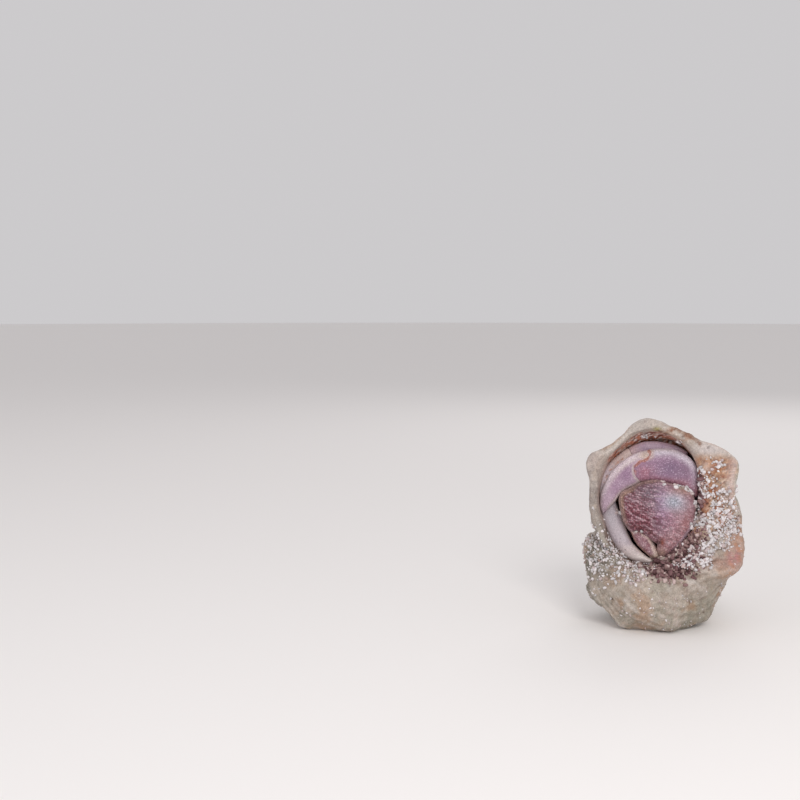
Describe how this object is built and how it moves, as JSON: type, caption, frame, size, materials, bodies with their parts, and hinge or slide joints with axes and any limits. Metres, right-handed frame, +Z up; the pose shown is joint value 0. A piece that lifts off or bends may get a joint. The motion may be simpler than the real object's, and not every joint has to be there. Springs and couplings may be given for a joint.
{
  "type": "hermit crab",
  "caption": "Still, life-size land hermit crab withdrawn into a worn, knobbly snail shell, its swollen left claw and folded legs closing the mouth.",
  "frame": {"origin": "on the floor, under the middle of the part's box", "axes": "+Z up, -Y out of the mouth of the shell towards the viewer, +X to the viewer's right"},
  "size_m": [0.0413, 0.0363, 0.0549],
  "materials": {
    "shell": "worn, chalky, stained",
    "claw_plate": "satin cuticle with pale-tipped grains",
    "leg_plate": "satin cuticle",
    "pale_leg_plate": "satin cuticle",
    "carapace": "satin cuticle",
    "soft_skin": "soft, moist skin",
    "eye": "glossy",
    "sand_grains": "matt coral sand"
  },
  "bodies": {
    "root": {"shell": "shell", "left_claw_palm": "claw_plate", "left_claw_finger": "claw_plate", "left_leg3_propodus": "leg_plate", "left_leg3_dactyl": "leg_plate", "left_leg2_propodus": "leg_plate", "left_leg2_dactyl": "pale_leg_plate", "left_claw_wrist": "claw_plate", "left_claw_arm": "claw_plate", "left_leg3_carpus": "leg_plate", "left_leg3_merus": "leg_plate", "left_leg2_carpus": "leg_plate", "left_leg2_merus": "leg_plate", "right_leg3_merus": "leg_plate", "right_leg3_carpus": "leg_plate", "right_leg3_propodus": "leg_plate", "right_leg3_dactyl": "leg_plate", "right_leg2_merus": "leg_plate", "right_leg2_carpus": "leg_plate", "right_leg2_propodus": "leg_plate", "right_leg2_dactyl": "leg_plate", "right_claw_arm": "claw_plate", "right_claw_wrist": "claw_plate", "right_claw_palm": "claw_plate", "right_claw_finger": "claw_plate", "mouthparts": "carapace", "left_eyestalk": "carapace", "left_eye": "eye", "right_eyestalk": "carapace", "right_eye": "eye", "left_antenna": "carapace", "left_antennule": "carapace", "right_antenna": "carapace", "right_antennule": "carapace", "shield": "carapace", "rear_carapace": "soft_skin", "abdomen_front": "soft_skin", "abdomen_middle": "soft_skin", "abdomen_rear": "soft_skin", "tail_fan": "carapace", "left_leg4": "soft_skin", "left_leg5": "soft_skin", "right_leg5": "soft_skin", "right_leg4": "soft_skin"}
  },
  "joints": []
}
